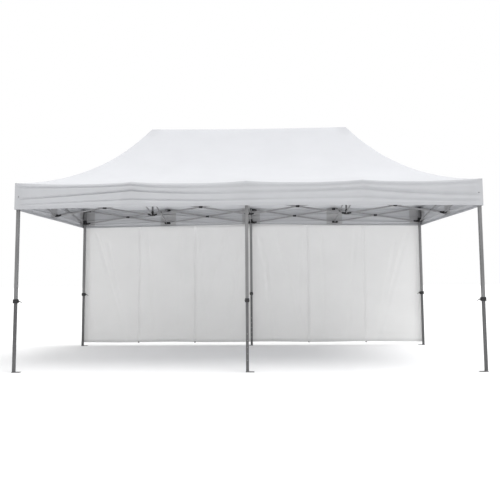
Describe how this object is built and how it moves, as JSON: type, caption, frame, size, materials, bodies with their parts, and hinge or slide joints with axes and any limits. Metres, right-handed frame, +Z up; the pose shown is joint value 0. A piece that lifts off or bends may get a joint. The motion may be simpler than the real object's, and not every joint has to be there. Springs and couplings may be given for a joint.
{
  "type": "pop up canopy",
  "caption": "Folding shelter on telescopic legs: a scissor truss frame carries a fabric roof with two concave peaks, a valance all round and rear walls.",
  "frame": {"origin": "middle of the footprint, on the ground under the feet", "axes": "+X along the long side to the right as seen from the open front, +Y from the open front to the rear walls, +Z up"},
  "size_m": [5.86, 3.01, 3.421],
  "materials": {
    "tube": "satin grey coating",
    "bar": "satin grey coating",
    "bracket": "fine texture",
    "lever": "satin",
    "pole": "satin",
    "roof": "plain woven, coated inside",
    "wall": "plain woven"
  },
  "bodies": {
    "leg_outer_rc": {"leg_outer_rc": "tube", "roof": "roof", "wall_rear_left": "wall", "wall_rear_right": "wall"},
    "bar_rear_left_rc_high": {"bar_rear_left_rc_high": "bar"},
    "bar_rear_left_rc_low": {"bar_rear_left_rc_low": "bar"},
    "bar_rear_left_rl_high": {"bar_rear_left_rl_high": "bar"},
    "bar_rear_left_rl_low": {"bar_rear_left_rl_low": "bar"},
    "leg_outer_rl": {"leg_outer_rl": "tube"},
    "slider_rc": {"slider_rc": "bracket"},
    "slider_rl": {"slider_rl": "bracket"},
    "bar_rear_right_rc_high": {"bar_rear_right_rc_high": "bar"},
    "bar_rear_right_rc_low": {"bar_rear_right_rc_low": "bar"},
    "bar_rear_right_rr_high": {"bar_rear_right_rr_high": "bar"},
    "bar_rear_right_rr_low": {"bar_rear_right_rr_low": "bar"},
    "leg_outer_rr": {"leg_outer_rr": "tube"},
    "slider_rr": {"slider_rr": "bracket"},
    "bar_centre_rc_high": {"bar_centre_rc_high": "bar"},
    "bar_centre_rc_low": {"bar_centre_rc_low": "bar"},
    "bar_centre_fc_high": {"bar_centre_fc_high": "bar"},
    "bar_centre_fc_low": {"bar_centre_fc_low": "bar"},
    "leg_outer_fc": {"leg_outer_fc": "tube"},
    "slider_fc": {"slider_fc": "bracket"},
    "bar_left_rl_high": {"bar_left_rl_high": "bar"},
    "bar_left_rl_low": {"bar_left_rl_low": "bar"},
    "bar_left_fl_high": {"bar_left_fl_high": "bar"},
    "bar_left_fl_low": {"bar_left_fl_low": "bar"},
    "leg_outer_fl": {"leg_outer_fl": "tube"},
    "slider_fl": {"slider_fl": "bracket"},
    "bar_right_rr_high": {"bar_right_rr_high": "bar"},
    "bar_right_rr_low": {"bar_right_rr_low": "bar"},
    "bar_right_fr_high": {"bar_right_fr_high": "bar"},
    "bar_right_fr_low": {"bar_right_fr_low": "bar"},
    "leg_outer_fr": {"leg_outer_fr": "tube"},
    "slider_fr": {"slider_fr": "bracket"},
    "bar_front_left_fc_high": {"bar_front_left_fc_high": "bar"},
    "bar_front_left_fc_low": {"bar_front_left_fc_low": "bar"},
    "bar_front_left_fl_high": {"bar_front_left_fl_high": "bar"},
    "bar_front_left_fl_low": {"bar_front_left_fl_low": "bar"},
    "bar_front_right_fc_high": {"bar_front_right_fc_high": "bar"},
    "bar_front_right_fc_low": {"bar_front_right_fc_low": "bar"},
    "bar_front_right_fr_high": {"bar_front_right_fr_high": "bar"},
    "bar_front_right_fr_low": {"bar_front_right_fr_low": "bar"},
    "centre_hub": {"centre_hub": "bracket"},
    "bar_ridge_left": {"bar_ridge_left": "bar"},
    "peak_pole_left": {"peak_pole_left": "pole"},
    "bar_ridge_right": {"bar_ridge_right": "bar"},
    "peak_pole_right": {"peak_pole_right": "pole"},
    "leg_inner_fl": {"leg_inner_fl": "tube"},
    "leg_inner_fc": {"leg_inner_fc": "tube"},
    "leg_inner_fr": {"leg_inner_fr": "tube"},
    "leg_inner_rl": {"leg_inner_rl": "tube"},
    "leg_inner_rc": {"leg_inner_rc": "tube"},
    "leg_inner_rr": {"leg_inner_rr": "tube"},
    "lock_lever_fl": {"lock_lever_fl": "lever"},
    "lock_lever_fc": {"lock_lever_fc": "lever"},
    "lock_lever_fr": {"lock_lever_fr": "lever"},
    "lock_lever_rl": {"lock_lever_rl": "lever"},
    "lock_lever_rc": {"lock_lever_rc": "lever"},
    "lock_lever_rr": {"lock_lever_rr": "lever"}
  },
  "joints": [
    {"name": "frame_fold", "type": "hinge", "parent": "leg_outer_rc", "child": "bar_rear_left_rc_high", "pos_m": [-0.06, 1.45, 2.317], "axis": [0, -1, 0], "range_deg": [0, 77]},
    {"name": "turn_bar_rear_left_rc_low", "type": "hinge", "parent": "bar_rear_left_rc_high", "child": "bar_rear_left_rc_low", "pos_m": [-0.755, 1.45, 2.207], "axis": [0, 1, 0], "range_deg": [0, 154]},
    {"name": "turn_bar_rear_left_rl_high", "type": "hinge", "parent": "bar_rear_left_rc_high", "child": "bar_rear_left_rl_high", "pos_m": [-1.45, 1.45, 2.097], "axis": [0, 1, 0], "range_deg": [0, 154]},
    {"name": "turn_bar_rear_left_rl_low", "type": "hinge", "parent": "bar_rear_left_rl_high", "child": "bar_rear_left_rl_low", "pos_m": [-2.145, 1.45, 2.207], "axis": [0, -1, 0], "range_deg": [0, 154]},
    {"name": "turn_leg_outer_rl", "type": "hinge", "parent": "bar_rear_left_rl_high", "child": "leg_outer_rl", "pos_m": [-2.84, 1.45, 2.317], "axis": [0, -1, 0], "range_deg": [0, 77]},
    {"name": "turn_slider_rc", "type": "hinge", "parent": "bar_rear_left_rc_low", "child": "slider_rc", "pos_m": [-0.06, 1.45, 2.097], "axis": [0, -1, 0], "range_deg": [0, 77]},
    {"name": "turn_slider_rl", "type": "hinge", "parent": "bar_rear_left_rl_low", "child": "slider_rl", "pos_m": [-2.84, 1.45, 2.097], "axis": [0, 1, 0], "range_deg": [0, 77]},
    {"name": "turn_bar_rear_right_rc_high", "type": "hinge", "parent": "leg_outer_rc", "child": "bar_rear_right_rc_high", "pos_m": [0.06, 1.45, 2.317], "axis": [0, 1, 0], "range_deg": [0, 77]},
    {"name": "turn_bar_rear_right_rc_low", "type": "hinge", "parent": "bar_rear_right_rc_high", "child": "bar_rear_right_rc_low", "pos_m": [0.755, 1.45, 2.207], "axis": [0, -1, 0], "range_deg": [0, 154]},
    {"name": "turn_bar_rear_right_rr_high", "type": "hinge", "parent": "bar_rear_right_rc_high", "child": "bar_rear_right_rr_high", "pos_m": [1.45, 1.45, 2.097], "axis": [0, -1, 0], "range_deg": [0, 154]},
    {"name": "turn_bar_rear_right_rr_low", "type": "hinge", "parent": "bar_rear_right_rr_high", "child": "bar_rear_right_rr_low", "pos_m": [2.145, 1.45, 2.207], "axis": [0, 1, 0], "range_deg": [0, 154]},
    {"name": "turn_leg_outer_rr", "type": "hinge", "parent": "bar_rear_right_rr_high", "child": "leg_outer_rr", "pos_m": [2.84, 1.45, 2.317], "axis": [0, 1, 0], "range_deg": [0, 77]},
    {"name": "turn_slider_rr", "type": "hinge", "parent": "bar_rear_right_rr_low", "child": "slider_rr", "pos_m": [2.84, 1.45, 2.097], "axis": [0, -1, 0], "range_deg": [0, 77]},
    {"name": "turn_bar_centre_rc_high", "type": "hinge", "parent": "leg_outer_rc", "child": "bar_centre_rc_high", "pos_m": [0, 1.39, 2.317], "axis": [1, 0, 0], "range_deg": [0, 77]},
    {"name": "turn_bar_centre_rc_low", "type": "hinge", "parent": "bar_centre_rc_high", "child": "bar_centre_rc_low", "pos_m": [0, 0.695, 2.207], "axis": [-1, 0, 0], "range_deg": [0, 154]},
    {"name": "turn_bar_centre_fc_high", "type": "hinge", "parent": "bar_centre_rc_high", "child": "bar_centre_fc_high", "pos_m": [0, 0, 2.097], "axis": [-1, 0, 0], "range_deg": [0, 154]},
    {"name": "turn_bar_centre_fc_low", "type": "hinge", "parent": "bar_centre_fc_high", "child": "bar_centre_fc_low", "pos_m": [0, -0.695, 2.207], "axis": [1, 0, 0], "range_deg": [0, 154]},
    {"name": "turn_leg_outer_fc", "type": "hinge", "parent": "bar_centre_fc_high", "child": "leg_outer_fc", "pos_m": [0, -1.39, 2.317], "axis": [1, 0, 0], "range_deg": [0, 77]},
    {"name": "turn_slider_fc", "type": "hinge", "parent": "bar_centre_fc_low", "child": "slider_fc", "pos_m": [0, -1.39, 2.097], "axis": [-1, 0, 0], "range_deg": [0, 77]},
    {"name": "turn_bar_left_rl_high", "type": "hinge", "parent": "leg_outer_rl", "child": "bar_left_rl_high", "pos_m": [-2.9, 1.39, 2.317], "axis": [1, 0, 0], "range_deg": [0, 77]},
    {"name": "turn_bar_left_rl_low", "type": "hinge", "parent": "bar_left_rl_high", "child": "bar_left_rl_low", "pos_m": [-2.9, 0.695, 2.207], "axis": [-1, 0, 0], "range_deg": [0, 154]},
    {"name": "turn_bar_left_fl_high", "type": "hinge", "parent": "bar_left_rl_high", "child": "bar_left_fl_high", "pos_m": [-2.9, 0, 2.097], "axis": [-1, 0, 0], "range_deg": [0, 154]},
    {"name": "turn_bar_left_fl_low", "type": "hinge", "parent": "bar_left_fl_high", "child": "bar_left_fl_low", "pos_m": [-2.9, -0.695, 2.207], "axis": [1, 0, 0], "range_deg": [0, 154]},
    {"name": "turn_leg_outer_fl", "type": "hinge", "parent": "bar_left_fl_high", "child": "leg_outer_fl", "pos_m": [-2.9, -1.39, 2.317], "axis": [1, 0, 0], "range_deg": [0, 77]},
    {"name": "turn_slider_fl", "type": "hinge", "parent": "bar_left_fl_low", "child": "slider_fl", "pos_m": [-2.9, -1.39, 2.097], "axis": [-1, 0, 0], "range_deg": [0, 77]},
    {"name": "turn_bar_right_rr_high", "type": "hinge", "parent": "leg_outer_rr", "child": "bar_right_rr_high", "pos_m": [2.9, 1.39, 2.317], "axis": [1, 0, 0], "range_deg": [0, 77]},
    {"name": "turn_bar_right_rr_low", "type": "hinge", "parent": "bar_right_rr_high", "child": "bar_right_rr_low", "pos_m": [2.9, 0.695, 2.207], "axis": [-1, 0, 0], "range_deg": [0, 154]},
    {"name": "turn_bar_right_fr_high", "type": "hinge", "parent": "bar_right_rr_high", "child": "bar_right_fr_high", "pos_m": [2.9, 0, 2.097], "axis": [-1, 0, 0], "range_deg": [0, 154]},
    {"name": "turn_bar_right_fr_low", "type": "hinge", "parent": "bar_right_fr_high", "child": "bar_right_fr_low", "pos_m": [2.9, -0.695, 2.207], "axis": [1, 0, 0], "range_deg": [0, 154]},
    {"name": "turn_leg_outer_fr", "type": "hinge", "parent": "bar_right_fr_high", "child": "leg_outer_fr", "pos_m": [2.9, -1.39, 2.317], "axis": [1, 0, 0], "range_deg": [0, 77]},
    {"name": "turn_slider_fr", "type": "hinge", "parent": "bar_right_fr_low", "child": "slider_fr", "pos_m": [2.9, -1.39, 2.097], "axis": [-1, 0, 0], "range_deg": [0, 77]},
    {"name": "turn_bar_front_left_fc_high", "type": "hinge", "parent": "leg_outer_fc", "child": "bar_front_left_fc_high", "pos_m": [-0.06, -1.45, 2.317], "axis": [0, -1, 0], "range_deg": [0, 77]},
    {"name": "turn_bar_front_left_fc_low", "type": "hinge", "parent": "bar_front_left_fc_high", "child": "bar_front_left_fc_low", "pos_m": [-0.755, -1.45, 2.207], "axis": [0, 1, 0], "range_deg": [0, 154]},
    {"name": "turn_bar_front_left_fl_high", "type": "hinge", "parent": "leg_outer_fl", "child": "bar_front_left_fl_high", "pos_m": [-2.84, -1.45, 2.317], "axis": [0, 1, 0], "range_deg": [0, 77]},
    {"name": "turn_bar_front_left_fl_low", "type": "hinge", "parent": "bar_front_left_fl_high", "child": "bar_front_left_fl_low", "pos_m": [-2.145, -1.45, 2.207], "axis": [0, -1, 0], "range_deg": [0, 154]},
    {"name": "turn_bar_front_right_fc_high", "type": "hinge", "parent": "leg_outer_fc", "child": "bar_front_right_fc_high", "pos_m": [0.06, -1.45, 2.317], "axis": [0, 1, 0], "range_deg": [0, 77]},
    {"name": "turn_bar_front_right_fc_low", "type": "hinge", "parent": "bar_front_right_fc_high", "child": "bar_front_right_fc_low", "pos_m": [0.755, -1.45, 2.207], "axis": [0, -1, 0], "range_deg": [0, 154]},
    {"name": "turn_bar_front_right_fr_high", "type": "hinge", "parent": "leg_outer_fr", "child": "bar_front_right_fr_high", "pos_m": [2.84, -1.45, 2.317], "axis": [0, -1, 0], "range_deg": [0, 77]},
    {"name": "turn_bar_front_right_fr_low", "type": "hinge", "parent": "bar_front_right_fr_high", "child": "bar_front_right_fr_low", "pos_m": [2.145, -1.45, 2.207], "axis": [0, 1, 0], "range_deg": [0, 154]},
    {"name": "turn_centre_hub", "type": "hinge", "parent": "bar_centre_rc_low", "child": "centre_hub", "pos_m": [0, 0, 2.317], "axis": [1, 0, 0], "range_deg": [0, 77]},
    {"name": "turn_bar_ridge_left", "type": "hinge", "parent": "centre_hub", "child": "bar_ridge_left", "pos_m": [-0.03, 0, 2.317], "axis": [0, -1, 0], "range_deg": [0, 77]},
    {"name": "turn_peak_pole_left", "type": "hinge", "parent": "bar_ridge_left", "child": "peak_pole_left", "pos_m": [-1.42, 0, 2.097], "axis": [0, 1, 0], "range_deg": [0, 77]},
    {"name": "turn_bar_ridge_right", "type": "hinge", "parent": "centre_hub", "child": "bar_ridge_right", "pos_m": [0.03, 0, 2.317], "axis": [0, 1, 0], "range_deg": [0, 77]},
    {"name": "turn_peak_pole_right", "type": "hinge", "parent": "bar_ridge_right", "child": "peak_pole_right", "pos_m": [1.42, 0, 2.097], "axis": [0, -1, 0], "range_deg": [0, 77]},
    {"name": "extend_leg_fl", "type": "slide", "parent": "leg_outer_fl", "child": "leg_inner_fl", "axis": [0, 0, 1], "range_m": [0, 0.76]},
    {"name": "extend_leg_fc", "type": "slide", "parent": "leg_outer_fc", "child": "leg_inner_fc", "axis": [0, 0, 1], "range_m": [0, 0.76]},
    {"name": "extend_leg_fr", "type": "slide", "parent": "leg_outer_fr", "child": "leg_inner_fr", "axis": [0, 0, 1], "range_m": [0, 0.76]},
    {"name": "extend_leg_rl", "type": "slide", "parent": "leg_outer_rl", "child": "leg_inner_rl", "axis": [0, 0, 1], "range_m": [0, 0.76]},
    {"name": "extend_leg_rc", "type": "slide", "parent": "leg_outer_rc", "child": "leg_inner_rc", "axis": [0, 0, 1], "range_m": [0, 0.76]},
    {"name": "extend_leg_rr", "type": "slide", "parent": "leg_outer_rr", "child": "leg_inner_rr", "axis": [0, 0, 1], "range_m": [0, 0.76]},
    {"name": "press_lock_fl", "type": "hinge", "parent": "leg_outer_fl", "child": "lock_lever_fl", "pos_m": [-2.864, -1.45, 0.873], "axis": [0, -1, 0], "range_deg": [0, 35], "stiffness_Nm_per_rad": 0.5, "springref_deg": -9.74},
    {"name": "press_lock_fc", "type": "hinge", "parent": "leg_outer_fc", "child": "lock_lever_fc", "pos_m": [0, -1.414, 0.873], "axis": [1, 0, 0], "range_deg": [0, 35], "stiffness_Nm_per_rad": 0.5, "springref_deg": -9.74},
    {"name": "press_lock_fr", "type": "hinge", "parent": "leg_outer_fr", "child": "lock_lever_fr", "pos_m": [2.864, -1.45, 0.873], "axis": [0, 1, 0], "range_deg": [0, 35], "stiffness_Nm_per_rad": 0.5, "springref_deg": -9.74},
    {"name": "press_lock_rl", "type": "hinge", "parent": "leg_outer_rl", "child": "lock_lever_rl", "pos_m": [-2.864, 1.45, 0.873], "axis": [0, -1, 0], "range_deg": [0, 35], "stiffness_Nm_per_rad": 0.5, "springref_deg": -9.74},
    {"name": "press_lock_rc", "type": "hinge", "parent": "leg_outer_rc", "child": "lock_lever_rc", "pos_m": [0, 1.414, 0.873], "axis": [-1, 0, 0], "range_deg": [0, 35], "stiffness_Nm_per_rad": 0.5, "springref_deg": -9.74},
    {"name": "press_lock_rr", "type": "hinge", "parent": "leg_outer_rr", "child": "lock_lever_rr", "pos_m": [2.864, 1.45, 0.873], "axis": [0, 1, 0], "range_deg": [0, 35], "stiffness_Nm_per_rad": 0.5, "springref_deg": -9.74}
  ],
  "couplings": [
    {"joint": "turn_bar_rear_left_rc_low", "follows": "frame_fold", "ratio": 2},
    {"joint": "turn_bar_rear_left_rl_high", "follows": "frame_fold", "ratio": 2},
    {"joint": "turn_bar_rear_left_rl_low", "follows": "frame_fold", "ratio": 2},
    {"joint": "turn_leg_outer_rl", "follows": "frame_fold", "ratio": 1},
    {"joint": "turn_slider_rc", "follows": "frame_fold", "ratio": 1},
    {"joint": "turn_slider_rl", "follows": "frame_fold", "ratio": 1},
    {"joint": "turn_bar_rear_right_rc_high", "follows": "frame_fold", "ratio": 1},
    {"joint": "turn_bar_rear_right_rc_low", "follows": "frame_fold", "ratio": 2},
    {"joint": "turn_bar_rear_right_rr_high", "follows": "frame_fold", "ratio": 2},
    {"joint": "turn_bar_rear_right_rr_low", "follows": "frame_fold", "ratio": 2},
    {"joint": "turn_leg_outer_rr", "follows": "frame_fold", "ratio": 1},
    {"joint": "turn_slider_rr", "follows": "frame_fold", "ratio": 1},
    {"joint": "turn_bar_centre_rc_high", "follows": "frame_fold", "ratio": 1},
    {"joint": "turn_bar_centre_rc_low", "follows": "frame_fold", "ratio": 2},
    {"joint": "turn_bar_centre_fc_high", "follows": "frame_fold", "ratio": 2},
    {"joint": "turn_bar_centre_fc_low", "follows": "frame_fold", "ratio": 2},
    {"joint": "turn_leg_outer_fc", "follows": "frame_fold", "ratio": 1},
    {"joint": "turn_slider_fc", "follows": "frame_fold", "ratio": 1},
    {"joint": "turn_bar_left_rl_high", "follows": "frame_fold", "ratio": 1},
    {"joint": "turn_bar_left_rl_low", "follows": "frame_fold", "ratio": 2},
    {"joint": "turn_bar_left_fl_high", "follows": "frame_fold", "ratio": 2},
    {"joint": "turn_bar_left_fl_low", "follows": "frame_fold", "ratio": 2},
    {"joint": "turn_leg_outer_fl", "follows": "frame_fold", "ratio": 1},
    {"joint": "turn_slider_fl", "follows": "frame_fold", "ratio": 1},
    {"joint": "turn_bar_right_rr_high", "follows": "frame_fold", "ratio": 1},
    {"joint": "turn_bar_right_rr_low", "follows": "frame_fold", "ratio": 2},
    {"joint": "turn_bar_right_fr_high", "follows": "frame_fold", "ratio": 2},
    {"joint": "turn_bar_right_fr_low", "follows": "frame_fold", "ratio": 2},
    {"joint": "turn_leg_outer_fr", "follows": "frame_fold", "ratio": 1},
    {"joint": "turn_slider_fr", "follows": "frame_fold", "ratio": 1},
    {"joint": "turn_bar_front_left_fc_high", "follows": "frame_fold", "ratio": 1},
    {"joint": "turn_bar_front_left_fc_low", "follows": "frame_fold", "ratio": 2},
    {"joint": "turn_bar_front_left_fl_high", "follows": "frame_fold", "ratio": 1},
    {"joint": "turn_bar_front_left_fl_low", "follows": "frame_fold", "ratio": 2},
    {"joint": "turn_bar_front_right_fc_high", "follows": "frame_fold", "ratio": 1},
    {"joint": "turn_bar_front_right_fc_low", "follows": "frame_fold", "ratio": 2},
    {"joint": "turn_bar_front_right_fr_high", "follows": "frame_fold", "ratio": 1},
    {"joint": "turn_bar_front_right_fr_low", "follows": "frame_fold", "ratio": 2},
    {"joint": "turn_centre_hub", "follows": "frame_fold", "ratio": 1},
    {"joint": "turn_bar_ridge_left", "follows": "frame_fold", "ratio": 1},
    {"joint": "turn_peak_pole_left", "follows": "frame_fold", "ratio": 1},
    {"joint": "turn_bar_ridge_right", "follows": "frame_fold", "ratio": 1},
    {"joint": "turn_peak_pole_right", "follows": "frame_fold", "ratio": 1}
  ]
}
